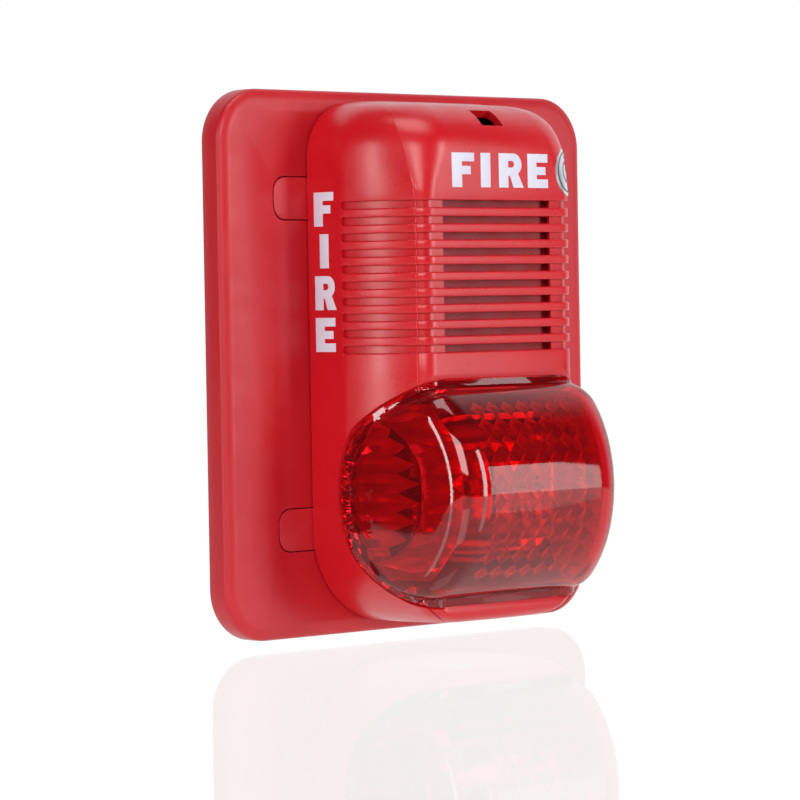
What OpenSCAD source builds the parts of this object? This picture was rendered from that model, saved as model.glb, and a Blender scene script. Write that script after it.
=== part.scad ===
// Wall-mounted fire alarm horn strobe: a trim plate and mounting base on the wall,
// and a plug-in head with a sounder behind a grille above a ribbed beacon lens.
// Millimetres. X is across, Z is up, the wall is the plane Y = 0 and the front faces -Y.
// Depths called d below are measured outwards from the front face of the trim plate.

/* [Trim plate] */
// Width of the trim plate
plate_w = 138; // [128:1:150]
// Height of the trim plate
plate_h = 150; // [148:1:160]
// Depth of the trim plate from the wall
plate_t = 8; // [7:0.5:10]
// Corner radius of the trim plate
plate_corner = 14.5; // [8:0.5:20]
// Width of the bevel along its front edge
plate_bevel = 1.6; // [0.5:0.1:2]

/* [Head] */
// Width of the head
head_w = 77; // [76:0.5:80]
// Height of the head
head_h = 144; // [143:0.5:146]
// Depth of the head's front face from the trim plate
head_d = 36.5; // [36:0.5:40]
// Depth where the straight side walls turn into slanted ones
side_d = 15; // [12:0.5:18]
// Width of the flat front face
front_w = 55.6; // [52:0.2:58]
// Corner radius at the top of the head, seen from the front
top_corner = 16; // [12:1:20]
// Corner radius at the bottom of the head, seen from the front
bottom_corner = 26; // [22:1:28]
// Radius where the top wall rolls into the front face
top_roll = 15; // [12:1:16]
// Wall thickness of the head cover
cover_wall = 2.2; // [1.8:0.1:2.4]

/* [Grille] */
// Number of grille slots
slot_count = 10; // [6:1:10]
// Height of the topmost slot's centre
slot_top = 42.9; // [42:0.1:44]
// Distance between slots
slot_pitch = 4.35; // [4:0.05:4.4]
// Height of one slot
slot_h = 2; // [1.4:0.1:2.4]

/* [Lens] */
// Height of the centre of the lens
lens_z = -34.9; // [-36:0.1:-34]
// Height of the lens window
lens_h = 63.2; // [60:0.1:64]
// Depth of the foremost point of the lens
lens_d = 53; // [50:0.5:55]
// Radius of the lens front, which curves about a horizontal axis
lens_front_r = 34.5; // [33:0.5:38]
// Radius of the window's edge, seen from the side
window_r = 32; // [31.5:0.1:32.4]
// Wall thickness of the lens
lens_wall = 2.8; // [2.6:0.1:3]

/* [Movement] */
// How far the release latch is pressed down
latch_travel = 2.2; // [1.8:0.1:2.4]
// How far each selector slider moves
slider_travel = 2; // [1.5:0.1:2]

/* [Hidden] */
$fn = 64;

gap = 0.3;                       // room between pieces that come apart
plate_wall = 2.5;                // wall of the trim plate and the mounting base
base_inset = 4;                  // how far the mounting base stays inside the head's outline
facet_x = front_w / 2;
facet_lean = atan2(head_d - side_d, head_w / 2 - facet_x);
bottom_roll = 4;
grille_through_w = 40.8;         // width over which the slots are cut right through
port_half_w = 8;                 // the baffle's sound ports hide behind the bars
groove_depth = 1.2;              // depth of the slots where they are blind grooves

lens_side_d = 16;                // depth where the lens sides start to lean in
lens_corner_r = 5;               // radius between the lens's sides and its front
lens_corner_x = 24.2;            // place of that radius's centre
window_d = 43;                   // centre of the window's edge, seen from the side
window_z = lens_z - 0.6;
window_top_r = 20;
window_bottom_r = 15;

tab_x = 50.3;                    // outer end of the mounting base's four tabs
tab_z = 45.3;                    // height of the tabs' centres, above and below the middle
tab_h = 11.4;
tab_corner = 4;
tab_t = 1.2;

gang_z = 83.3 / 2;               // wall-box screw spacing, upright
gang_x = 46 / 2;                 // wall-box screw spacing across a two-gang box
wall_screw_r = 2.3;
cable_r = 11;

terminal_x = [-12, -4, 4, 12];   // centres of the four terminals
terminal_bottom = 15;
terminal_top = 36;
terminal_y = -10.3;              // front of the terminal block
terminal_screw_z = 23;
blade_z = 32.4;                  // height of the contacts' centres
blade_t = 0.8;
blade_h = 4;

release_w = 8;                   // the release slot in the head's top
release_bottom = 64.4;
release_top = 68.8;
latch_bottom = 53;
latch_half_w = 6.5;
nose_half_w = 9.5;
nose_bottom = 60;
nose_top = 65.5;
spring_seat = 47;
spring_y = -4.75;
spring_r = 1.7;
catch_x = 6;                     // inner side of the head's two catches
catch_w = 3;

tongue_x = 10;                   // inner side of the head's two bottom tongues
tongue_w = 5;

housing_d = 4;                   // back of the rear housing
housing_t = 2;
board_d = 9;                     // back of the circuit board
board_t = 1.6;
board_face = board_d + board_t;
board_top = 62;
board_inset = 7;                 // from the head's outline
shoulder_x = 23.4;               // the board's corners step back round the cover's top bosses
shoulder_z = 52.4;
cover_bosses = [[-27, 56], [27, 56], [-6, -67], [6, -67]];
board_posts = [[-27, 40], [27, 40], [-25, -50], [25, -50]];

tube_d = 25;                     // depth of the flash tube's axis
tube_r = 2;
tube_half = 26;
reflector_r = 20;
reflector_d = 33;
reflector_half = 24.2;
reflector_wall = 1.2;

sounder_z = 23.3;
sounder_r = 19.5;
sounder_wall = 1.2;
disc_d = 17;                     // depth of the piezo disc's back
disc_t = 0.25;

selector_x = -17;
selector_z = 50;
selector_w = 12;
selector_h = 8;
selector_depth = 4;
slider_pitch = 2.54;

label_r = 6.7;
label_z = 51.9;
label_t = 0.25;
label_past_edge = 0.9;           // how far the label's centre lies past the front face's edge

// ---- Placing flat shapes. Each takes a 2-D child and gives it depth. ----

// Child in X and Z, from depth d0 to depth d1 in front of the trim plate.
module facing(d0, d1) {
    translate([0, -plate_t - d0, 0]) rotate([90, 0, 0]) linear_extrude(d1 - d0) children();
}

// Child in X and d, from height z0 to z1.
module upright(z0, z1) {
    translate([0, -plate_t, z0]) mirror([0, 1, 0]) linear_extrude(z1 - z0) children();
}

// Child in d and Z, w wide and centred across.
module across(w) {
    translate([-w / 2, -plate_t, 0]) mirror([0, 1, 0]) rotate([90, 0, 90]) linear_extrude(w) children();
}

// Box between two X, two depths and two heights.
module block(x, d, z) {
    translate([x[0], -plate_t - d[1], z[0]]) cube([x[1] - x[0], d[1] - d[0], z[1] - z[0]]);
}

// Round bar along the depth, at X and Z in p.
module rod(p, r, d0, d1) {
    translate([p[0], -plate_t - d0, p[1]]) rotate([90, 0, 0]) cylinder(h = d1 - d0, r = r);
}

// Child and its mirror image across the middle.
module both_sides() {
    children();
    mirror([1, 0, 0]) children();
}

// ---- Outlines ----

// Upright rounded outline with its own corner radii at the top and the bottom.
module round_outline(half_w, top, bottom, r_top, r_bottom) {
    polygon([
        [half_w - r_top, top], [half_w, top - r_top],
        [half_w, bottom + r_bottom], [half_w - r_bottom, bottom],
        [r_bottom - half_w, bottom], [-half_w, bottom + r_bottom],
        [-half_w, top - r_top], [r_top - half_w, top]
    ]);
    for (side = [-1, 1]) {
        translate([side * (half_w - r_top), top - r_top]) circle(r_top);
        translate([side * (half_w - r_bottom), bottom + r_bottom]) circle(r_bottom);
    }
}

// The head seen from the front, moved in by t.
module head_outline(t) {
    round_outline(head_w / 2 - t, head_h / 2 - t, t - head_h / 2, top_corner - t, bottom_corner - t);
}

// The head seen from above, moved in by t: straight sides, slanted facets and a flat front.
module head_plan(t) {
    x_side = head_w / 2 - t;
    d_side = side_d - t * (1 - sin(facet_lean)) / cos(facet_lean);
    x_front = facet_x - t * (1 - cos(facet_lean)) / sin(facet_lean);
    polygon([
        [-x_side, 0], [x_side, 0], [x_side, d_side],
        [x_front, head_d - t], [-x_front, head_d - t], [-x_side, d_side]
    ]);
}

// The head seen from the side, moved in by t, with its rolled top and bottom edges.
module head_profile(t) {
    top = head_h / 2;
    front = head_d - t;
    polygon([
        [0, t - top], [head_d - bottom_roll, t - top], [front, bottom_roll - top],
        [front, top - top_roll], [head_d - top_roll, top - t], [0, top - t]
    ]);
    translate([head_d - top_roll, top - top_roll]) circle(top_roll - t);
    translate([head_d - bottom_roll, bottom_roll - top]) circle(bottom_roll - t);
}

// The head's whole form, moved in by t and starting at depth d0.
module head_form(t, d0) {
    intersection() {
        facing(d0, head_d + 1) head_outline(t);
        upright(-head_h, head_h) head_plan(t);
        across(head_w * 2) head_profile(t);
    }
}

// Points along an arc about c, from angle a0 to a1.
function arc(c, r, a0, a1, steps = 8) = [
    for (n = [0 : steps])
        let (a = a0 + (a1 - a0) * n / steps)
        c + r * [cos(a), sin(a)]
];

// The lens window seen from the front, grown by g.
module window_outline(g) {
    half_w = head_w / 2 + g;
    top = lens_z + lens_h / 2 + g;
    bottom = lens_z - lens_h / 2 - g;
    r_top = window_top_r + g;
    r_bottom = window_bottom_r + g;
    polygon(concat(
        arc([half_w - r_top, top - r_top], r_top, 0, 90),
        arc([r_top - half_w, top - r_top], r_top, 90, 180),
        arc([r_bottom - half_w, bottom + r_bottom], r_bottom, 180, 270),
        arc([half_w - r_bottom, bottom + r_bottom], r_bottom, 270, 360)
    ));
}

// The space that the window takes in the head, grown by g: an arc from the side.
module window_form(g) {
    intersection() {
        facing(0, 60) window_outline(g);
        across(head_w * 2) translate([window_d, window_z]) circle(window_r + g);
    }
}

// Direction that the lens's slanted side faces, where it runs from start onto the corner radius.
function side_lean(start, centre, r) =
    let (v = centre - start)
    atan2(v[1], v[0]) - asin(r / norm(v)) - 90;

// The lens seen from above, moved in by t.
module lens_plan(t) {
    start = [head_w / 2 - t, lens_side_d];
    centre = [lens_corner_x, lens_d - lens_corner_r];
    r = lens_corner_r - t;
    lean = side_lean(start, centre, r);
    polygon(concat(
        [[start[0], 0], start],
        arc(centre, r, lean, 90),
        arc([-centre[0], centre[1]], r, 90, 180 - lean),
        [[-start[0], start[1]], [-start[0], 0]]
    ));
}

// The space inside the lens's front and sides, moved in by t; open at the back.
module lens_bulge(t) {
    intersection() {
        upright(lens_z - 40, lens_z + 40) lens_plan(t);
        across(head_w * 2) {
            translate([lens_d - lens_front_r, lens_z]) circle(lens_front_r - t);
        }
    }
}

// ---- On the wall ----

module tab_outline(g) {
    for (side = [-1, 1], level = [-1, 1]) {
        scale([side, level]) translate([0, tab_z - tab_h / 2 - g]) {
            translate([30, 0]) square([tab_x - tab_corner - 30, tab_h + 2 * g]);
            translate([30, tab_corner]) square([tab_x + g - 30, tab_h + 2 * g - 2 * tab_corner]);
            for (z = [tab_corner, tab_h + 2 * g - tab_corner]) {
                translate([tab_x + g - tab_corner, z]) circle(tab_corner);
            }
        }
    }
}

module plate_outline(t) {
    round_outline(plate_w / 2 - t, plate_h / 2 - t, t - plate_h / 2, plate_corner - t, plate_corner - t);
}

// A section of the trim plate, half as wide as half_w, with its bevelled front edge.
module plate_section(half_w) {
    polygon([
        [-half_w, -plate_t], [half_w, -plate_t], [half_w, -plate_bevel],
        [half_w - plate_bevel, 0], [plate_bevel - half_w, 0], [-half_w, -plate_bevel]
    ]);
}

module plate_ribs() {
    both_sides() {
        for (z = [-56, -28, 0, 28, 56]) {
            block([head_w / 2 - 2, plate_w / 2 - 1], [-plate_t, -plate_wall], [z - 0.8, z + 0.8]);
        }
    }
}

module trim_plate() {
    color("firebrick") difference() {
        union() {
            difference() {
                intersection() {
                    facing(-plate_t, 0) plate_outline(0);
                    upright(-plate_h, plate_h) plate_section(plate_w / 2);
                    across(plate_w * 2) rotate(90) mirror([0, 1]) plate_section(plate_h / 2);
                }
                facing(-plate_t - 1, -plate_wall) plate_outline(plate_wall);
            }
            plate_ribs();
            facing(-plate_t, -plate_wall) difference() {
                head_outline(base_inset - gap - 1.6);
                head_outline(base_inset - gap);
            }
        }
        facing(-plate_t - 1, 1) head_outline(base_inset - gap);
        facing(-tab_t - 0.1, 1) tab_outline(0.35);
        both_sides() {
            block([tongue_x - 0.5, tongue_x + tongue_w + 0.5], [-plate_t - 1, 1], [-69.9, -60]);
        }
    }
}

module base_walls() {
    difference() {
        facing(-plate_t, 0) head_outline(base_inset);
        facing(-plate_t + plate_wall, 1) head_outline(base_inset + 2);
        block([-nose_half_w - 1, nose_half_w + 1], [-plate_t + plate_wall, 1], [64, 70]);
        both_sides() {
            block(
                [tongue_x - 0.5, tongue_x + tongue_w + 0.5], [-plate_t + plate_wall, 1], [-70, -65.5]
            );
        }
    }
}

module latch_rails() {
    both_sides() {
        rail_z = [latch_bottom - 0.5, nose_bottom - latch_travel - 0.4];
        block([latch_half_w + 0.4, latch_half_w + 2.4], [-plate_t + plate_wall, 0], rail_z);
        block([latch_half_w - 1.5, latch_half_w + 2.4], [-1.15, 0], rail_z);
    }
    block([-3.5, 3.5], [-plate_t + plate_wall, -1], [spring_seat - 0.9, spring_seat]);
}

module mounting_base() {
    color("firebrick") difference() {
        union() {
            base_walls();
            latch_rails();
            facing(-tab_t, 0) difference() {
                tab_outline(0);
                square([2 * (head_w / 2 - base_inset) - 1, plate_h], center = true);
            }
        }
        rod([0, 0], cable_r, -plate_t - 1, 1);
        for (z = [-gang_z, gang_z]) {
            for (x = [-gang_x, 0, gang_x]) rod([x, z], wall_screw_r, -plate_t - 1, -plate_t + 3);
        }
    }
}

module terminal_block() {
    d_top = -plate_t - terminal_y;
    color("darkgreen") difference() {
        block([-17, 17], [-plate_t + plate_wall, d_top], [terminal_bottom, terminal_top]);
        for (x = terminal_x) {
            rod([x, terminal_screw_z], 3, d_top - 2.4, d_top + 1);
            rod([x, terminal_screw_z], 1.3, -4.4, d_top);
            block([x - 2, x + 2], [-4.2, -0.6], [terminal_bottom - 1, terminal_bottom + 5.5]);
            block([x - 1.7, x + 1.7], [-4, d_top + 1], [blade_z - 2.6, blade_z + 2.6]);
        }
    }
}

module terminal_screws() {
    d_top = -plate_t - terminal_y;
    color("silver") for (x = terminal_x) {
        difference() {
            rod([x, terminal_screw_z], 2.6, d_top - 2.4, d_top - 0.6);
            block(
                [x - 2.8, x + 2.8], [d_top - 1.3, d_top],
                [terminal_screw_z - 0.35, terminal_screw_z + 0.35]
            );
        }
        rod([x, terminal_screw_z], 1.25, -4.3, d_top - 2.4);
    }
}

module base_contacts() {
    leaf = 0.4;
    leaf_x = blade_t / 2 + 0.15;
    color("goldenrod") for (x = terminal_x) {
        block([x - leaf_x - leaf, x + leaf_x + leaf], [-4, -4 + leaf], [blade_z - 2.4, blade_z + 2.4]);
        for (side = [-1, 1]) {
            block(
                [x + side * (leaf_x + leaf / 2) - leaf / 2, x + side * (leaf_x + leaf / 2) + leaf / 2],
                [-4, 2], [blade_z - 2.4, blade_z + 2.4]
            );
        }
    }
}

// ---- Release latch ----

module release_latch() {
    color("black") difference() {
        union() {
            block([-latch_half_w, latch_half_w], [-5, -1.5], [latch_bottom, nose_bottom + 1]);
            block([-nose_half_w, nose_half_w], [-5, 0.6], [nose_bottom, nose_top - 2.1]);
            block([-nose_half_w, nose_half_w], [-0.8, 0.6], [nose_bottom, nose_top]);
        }
        translate([-20, -plate_t - 0.6, nose_top - 1]) rotate([45, 0, 0]) cube([40, 4, 4]);
    }
}

module latch_spring() {
    color("silver") translate([0, spring_y, spring_seat + 0.05]) difference() {
        cylinder(h = latch_bottom - spring_seat - 0.1, r = spring_r);
        translate([0, 0, -1]) cylinder(h = latch_bottom - spring_seat + 2, r = spring_r - 0.5);
    }
}

// ---- Head: cover, lens and label ----

module grille_slots() {
    for (n = [0 : slot_count - 1]) {
        z = slot_top - n * slot_pitch;
        difference() {
            block([-head_w, head_w], [side_d + 0.3, head_d + 1], [z - slot_h / 2, z + slot_h / 2]);
            upright(z - slot_h, z + slot_h) head_plan(groove_depth);
        }
        block(
            [-grille_through_w / 2, grille_through_w / 2], [head_d - 5, head_d + 1],
            [z - slot_h / 2, z + slot_h / 2]
        );
    }
}

module cover_boss_bars() {
    intersection() {
        for (p = cover_bosses) rod(p, 3.2, housing_d + housing_t + 0.2, p[1] > 0 ? head_d : 24);
        head_form(1, 1);
    }
}

module head_cover() {
    color("crimson") difference() {
        union() {
            difference() {
                head_form(0, gap);
                head_form(cover_wall, -1);
            }
            cover_boss_bars();
        }
        window_form(gap);
        grille_slots();
        block([-release_w / 2, release_w / 2], [24, head_d + 2], [release_bottom, release_top]);
        for (p = cover_bosses) rod(p, 1.2, 0, 17);
    }
}

module grille_baffle() {
    face = head_d - cover_wall;
    color("maroon") difference() {
        block([-25, 25], [face - 3.1, face], [0.4, 46.6]);
        block([-22, 22], [face - 1.9, face + 1], [1.8, 45.2]);
        for (n = [3 : 5]) {
            z = slot_top - (n + 0.5) * slot_pitch;
            block([-port_half_w, port_half_w], [face - 4, face], [z - 0.7, z + 0.7]);
        }
    }
}

// A bulging shell with a flange under the cover's wall that holds it from inside.
module lens() {
    color("red", 0.6) difference() {
        union() {
            intersection() {
                window_form(0);
                lens_bulge(0);
            }
            intersection() {
                window_form(3);
                head_form(cover_wall + 0.1, board_d + 0.2);
            }
        }
        intersection() {
            window_form(-lens_wall);
            lens_bulge(lens_wall);
        }
        head_form(cover_wall + 1.8, -1);
    }
}

module round_label() {
    color("silver") {
        intersection() {
            rod([facet_x + label_past_edge, label_z], label_r, head_d, head_d + label_t);
            block([0, facet_x], [head_d - 1, head_d + 1], [0, 80]);
        }
        translate([facet_x, -plate_t - head_d, label_z]) rotate([0, 0, facet_lean]) difference() {
            translate([label_past_edge, 0, 0]) rotate([90, 0, 0]) cylinder(h = label_t, r = label_r);
            translate([-20, -1, -10]) cube([20, 2, 20]);
        }
    }
}

// ---- Head: beacon optics ----

module reflector() {
    color("gainsboro") {
        difference() {
            across(2 * reflector_half) difference() {
                translate([reflector_d, lens_z]) circle(reflector_r);
                translate([30, lens_z - 30]) square([60, 60]);
            }
            across(2 * (reflector_half - reflector_wall)) {
                translate([reflector_d, lens_z]) circle(reflector_r - reflector_wall);
            }
            translate([-30, -plate_t - tube_d, lens_z]) rotate([0, 90, 0]) cylinder(h = 60, r = tube_r + 0.4);
        }
        both_sides() for (z = [lens_z - 8, lens_z + 8]) {
            rod([14, z], 1.6, board_face, reflector_d - sqrt(pow(reflector_r, 2) - 64) + 0.4);
        }
    }
}

module along_tube(x0, x1, r) {
    translate([x0, -plate_t - tube_d, lens_z]) rotate([0, 90, 0]) cylinder(h = x1 - x0, r = r);
}

module flash_tube() {
    color("white", 0.5) along_tube(-tube_half, tube_half, tube_r);
}

module tube_bushings() {
    color("dimgray") both_sides() difference() {
        union() {
            along_tube(reflector_half, tube_half - 0.3, 3.6);
            along_tube(reflector_half - reflector_wall, reflector_half, tube_r + 0.4);
        }
        along_tube(20, 30, tube_r);
    }
}

module tube_leads() {
    color("silver") both_sides() {
        along_tube(tube_half, tube_half + 2.1, 0.5);
        rod([tube_half + 1.6, lens_z], 0.5, board_face, tube_d + 0.5);
    }
}

module trigger_band() {
    color("silver") {
        for (x = [-12, -6, 0, 6, 12]) difference() {
            along_tube(x - 0.5, x + 0.5, tube_r + 0.3);
            along_tube(x - 1, x + 1, tube_r);
        }
        block([-12.5, 12.5], [tube_d - tube_r - 0.4, tube_d - tube_r - 0.02], [lens_z - 0.4, lens_z + 0.4]);
    }
}

// ---- Head: rear housing and board ----

module catches() {
    both_sides() {
        block([catch_x, catch_x + catch_w], [-2.8, housing_d], [66, 67.5]);
        block([catch_x, catch_x + catch_w], [-2.8, -1.1], [64, 66]);
    }
}

module tongues() {
    both_sides() {
        block([tongue_x, tongue_x + tongue_w], [-4, housing_d], [-69.2, -67.8]);
        block([tongue_x, tongue_x + tongue_w], [-4, -2.8], [-70.3, -69.2]);
    }
}

module rear_housing() {
    color("crimson") difference() {
        union() {
            facing(housing_d, housing_d + housing_t) head_outline(cover_wall + 0.25);
            facing(housing_d + housing_t, board_d) difference() {
                head_outline(cover_wall + 0.25);
                head_outline(cover_wall + 1.6);
            }
            for (p = board_posts) rod(p, 2.6, housing_d, board_d);
            catches();
            tongues();
        }
        for (p = cover_bosses) {
            rod(p, 1.5, 0, 8);
            rod(p, 3.5, housing_d + housing_t, board_d + 1);
        }
        for (p = board_posts) rod(p, 1.1, housing_d + 1, board_d + 1);
        for (x = terminal_x) {
            block([x - blade_t / 2, x + blade_t / 2], [0, 8], [blade_z - blade_h / 2, blade_z + blade_h / 2]);
        }
        block(
            [selector_x - selector_w / 2 - 0.4, selector_x + selector_w / 2 + 0.4], [0, 8],
            [selector_z - selector_h / 2 - 0.4, selector_z + selector_h / 2 + 0.4]
        );
        block([-release_w / 2 - 1.5, release_w / 2 + 1.5], [0, 20], [release_bottom - 1, head_h]);
    }
}

module contact_blades() {
    color("goldenrod") for (x = terminal_x) {
        block(
            [x - blade_t / 2, x + blade_t / 2], [-3.2, board_d],
            [blade_z - blade_h / 2, blade_z + blade_h / 2]
        );
    }
}

// Round-headed screw along the depth; its head is at the end given by d_head.
module screw(p, head_r, shank_r, d_head, d_seat, d_tip) {
    difference() {
        rod(p, head_r, min(d_head, d_seat), max(d_head, d_seat));
        for (turn = [0, 90]) translate([p[0], -plate_t - d_head, p[1]]) rotate([0, turn, 0]) {
            cube([head_r * 1.3, 1.2, 0.6], center = true);
        }
    }
    rod(p, shank_r, min(d_seat, d_tip), max(d_seat, d_tip));
}

module cover_screws() {
    color("silver") for (p = cover_bosses) screw(p, 2.3, 1.2, housing_d - 1.4, housing_d, 16);
}

// The board's outline: square shoulders at the top, round corners at the bottom.
module board_outline() {
    half_w = head_w / 2 - board_inset;
    low = board_inset - head_h / 2;
    r = bottom_corner - board_inset;
    polygon(concat(
        [[shoulder_x, board_top], [shoulder_x, shoulder_z], [half_w, shoulder_z]],
        arc([half_w - r, low + r], r, 0, -90, 12),
        arc([r - half_w, low + r], r, -90, -180, 12),
        [[-half_w, shoulder_z], [-shoulder_x, shoulder_z], [-shoulder_x, board_top]]
    ));
}

module circuit_board() {
    color("darkgreen") difference() {
        facing(board_d, board_face) board_outline();
        both_sides() rod(cover_bosses[3], 3.6, 0, 20);
        for (p = board_posts) rod(p, 1.3, 0, 20);
    }
}

module board_screws() {
    color("silver") for (p = board_posts) screw(p, 2.3, 1.1, board_face + 1.4, board_face, housing_d + 1.2);
}

module flash_capacitor() {
    color("navy") translate([-12, -plate_t - board_face - 6.4, 52]) rotate([0, 90, 0]) {
        cylinder(h = 30, r = 6.3);
    }
}

module trigger_transformer() {
    color("gold") block([-15, -6], [board_face, board_face + 7.5], [-62, -53.5]);
}

module power_inductor() {
    color("dimgray") {
        rod([25, 1.5], 5, board_face, board_face + 1.5);
        rod([25, 1.5], 3.4, board_face + 1.5, board_face + 6);
        rod([25, 1.5], 5, board_face + 6, board_face + 7.5);
    }
}

module control_chips() {
    color("black") {
        block([-28, -20], [board_face, board_face + 1.6], [-6, 4]);
        block([20, 25.5], [board_face, board_face + 1.4], [-18, -12]);
        block([-28, -23.5], [board_face, board_face + 1.4], [22, 28]);
    }
}

module chip_components() {
    color("tan") for (x = [-12 : 4 : 12], z = [-5, -1]) {
        block([x - 1, x + 1], [board_face, board_face + 0.7], [z - 0.6, z + 0.6]);
    }
}

// ---- Head: selector switch on the back of the board ----

module selector_block() {
    back = board_d - selector_depth;
    color("blue") difference() {
        block(
            [selector_x - selector_w / 2, selector_x + selector_w / 2], [back, board_d],
            [selector_z - selector_h / 2, selector_z + selector_h / 2]
        );
        for (n = [1 : 4]) {
            x = slider_x(n);
            block([x - 0.8, x + 0.8], [back - 1, back + 1.4], [selector_z - 2, selector_z + 2]);
        }
    }
}

function slider_x(n) = selector_x + (n - 2.5) * slider_pitch;

module selector_slider(n) {
    back = board_d - selector_depth;
    low = selector_z - slider_travel / 2 - 0.7;
    color("white") block([slider_x(n) - 0.6, slider_x(n) + 0.6], [back - 0.7, back + 1.2], [low, low + 1.4]);
}

// ---- Head: sounder ----

module sounder_ring(r_out, r_in, d0, d1) {
    difference() {
        rod([0, sounder_z], r_out, d0, d1);
        rod([0, sounder_z], r_in, d0 - 1, d1 + 1);
    }
}

module sounder_housing() {
    color("black") difference() {
        union() {
            rod([0, sounder_z], sounder_r, board_face, board_face + 1.4);
            sounder_ring(sounder_r, sounder_r - sounder_wall, board_face, 22);
            sounder_ring(sounder_r, 15.5, board_face, disc_d - disc_t);
            sounder_ring(sounder_r, 17.55, board_face, disc_d);
        }
        for (x = [-4, 4]) rod([x, sounder_z], 1, 0, 30);
    }
}

module sounder_cap() {
    color("black") {
        sounder_ring(sounder_r, 5, 22, 23.5);
        sounder_ring(sounder_r - sounder_wall - 0.05, 16.5, disc_d + 0.01, 22);
    }
}

module piezo_disc() {
    color("gold") rod([0, sounder_z], 17.5, disc_d - disc_t, disc_d);
}

module piezo_ceramic() {
    color("white") rod([0, sounder_z], 12.5, disc_d - 2 * disc_t, disc_d - disc_t);
}

module sounder_leads() {
    color("red") for (x = [-4, 4]) rod([x, sounder_z], 0.5, board_face, disc_d - 2 * disc_t);
}

trim_plate();
mounting_base();
terminal_block();
terminal_screws();
base_contacts();
release_latch();
latch_spring();
head_cover();
grille_baffle();
round_label();
lens();
reflector();
flash_tube();
tube_bushings();
tube_leads();
trigger_band();
rear_housing();
contact_blades();
cover_screws();
circuit_board();
board_screws();
flash_capacitor();
trigger_transformer();
power_inductor();
control_chips();
chip_components();
selector_block();
selector_slider(1);  // selector_slider_1
selector_slider(2);  // selector_slider_2
selector_slider(3);  // selector_slider_3
selector_slider(4);  // selector_slider_4
sounder_housing();
sounder_cap();
piezo_disc();
piezo_ceramic();
sounder_leads();
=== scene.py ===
"""Looks of the horn strobe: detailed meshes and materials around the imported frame."""

import math

import bmesh
import bpy
import numpy as np
from mathutils import Matrix, Vector


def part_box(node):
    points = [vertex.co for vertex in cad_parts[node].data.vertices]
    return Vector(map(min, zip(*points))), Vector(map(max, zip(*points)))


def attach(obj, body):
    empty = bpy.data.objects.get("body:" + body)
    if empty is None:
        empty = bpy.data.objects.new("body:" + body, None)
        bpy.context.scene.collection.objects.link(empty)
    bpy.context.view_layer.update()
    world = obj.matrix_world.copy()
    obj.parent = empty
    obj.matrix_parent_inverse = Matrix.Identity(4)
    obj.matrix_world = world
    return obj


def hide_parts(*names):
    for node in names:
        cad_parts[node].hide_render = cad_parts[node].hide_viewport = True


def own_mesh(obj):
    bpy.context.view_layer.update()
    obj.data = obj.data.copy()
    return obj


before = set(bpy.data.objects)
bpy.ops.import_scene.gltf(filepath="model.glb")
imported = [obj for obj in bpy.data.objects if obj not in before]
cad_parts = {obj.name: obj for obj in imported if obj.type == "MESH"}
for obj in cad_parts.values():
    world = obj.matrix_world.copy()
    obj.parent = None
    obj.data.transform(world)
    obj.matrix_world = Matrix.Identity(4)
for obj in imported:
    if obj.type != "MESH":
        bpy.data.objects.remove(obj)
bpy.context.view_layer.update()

# ---- Sizes, in millimetres. X is across, Z is up, depths d run outwards from the trim plate's face ----

MM = 0.001


def node_box(node):
    """A node's lowest and highest corners in millimetres."""
    low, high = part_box(node)
    return [c / MM for c in low], [c / MM for c in high]


plate_low, plate_high = node_box("trim_plate")
cover_low, cover_high = node_box("head_cover")
PLATE_T = -plate_low[1]
PLATE_HALF_W = plate_high[0]
PLATE_HALF_H = plate_high[2]
HEAD_HALF_W = cover_high[0]
HEAD_HALF_H = cover_high[2]
HEAD_D = -PLATE_T - cover_low[1]

PLATE_CORNER = 14.5
PLATE_WALL = 2.5
RIB_PITCH = 28.0
RIB_HALF_H = 0.8
TAB_Z = 45.3
TAB_HALF_H = 5.7
TAB_CORNER = 4.0

# The head: corners seen from the front, rolls seen from the side, and the facets seen from above
TOP_CORNER = 16.0
BOTTOM_CORNER = 26.0
TOP_ROLL = 15.0
TOP_ROLL_D = 17.0
FACET_ROLL = 12.0   # how far the facets fall back through the top's roll
END_SLOPE = 1.1     # height of the sloping faces at both ends
END_DEPTH = 8.0     # depth left at the very ends
BOTTOM_ROLL = 4.0
COVER_WALL = 2.2
COVER_BACK = 0.3
SIDE_D = 15.0
FACET_X = 27.8
FACET_BOW = math.radians(11)
FRONT_CROWN = 0.6
EDGE_R = 6.0
FACET_NORMAL = np.array([HEAD_D - SIDE_D, HEAD_HALF_W - FACET_X])
FACET_NORMAL = FACET_NORMAL / np.linalg.norm(FACET_NORMAL)
FACET_LEAN = math.atan2(FACET_NORMAL[1], FACET_NORMAL[0])

# The grille's slots and the slot for the screwdriver that releases the head
SLOT_COUNT = 10
SLOT_TOP = 42.9
SLOT_PITCH = 4.35
SLOT_HALF_H = 1.0
SLOT_LIP = 0.4
GROOVE_DEPTH = 1.2
GRILLE_HALF_W = 20.4
RELEASE_HALF_W = 4.0
RELEASE_BOTTOM = 64.4
RELEASE_TOP = 68.8

# The lens, and the window in the head that it fills
LENS_Z = -34.9
LENS_HALF_H = 31.6
LENS_D = 53.0
LENS_FRONT_R = 34.5
LENS_SIDE_D = 16.0
LENS_CORNER_X = 25.6
LENS_CORNER_R = 5.0
LENS_WALL = 2.2
LEDGE_W = 1.2
LEDGE_LIFT = 0.2
WINDOW_D = 43.0
WINDOW_Z = -35.5
WINDOW_R = 32.0
WINDOW_TOP_R = 20.0
WINDOW_BOTTOM_R = 15.0

# The optics inside the lens: prisms in front, stars at the corners and flutes on the sides
COLUMNS = 7
COLUMN_PITCH = 5.6
ROWS = 10
ROW_TURN = 9.2
PRISM_H = 2.2
STAR_H = 1.8
FLUTE_H = 1.9

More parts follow.
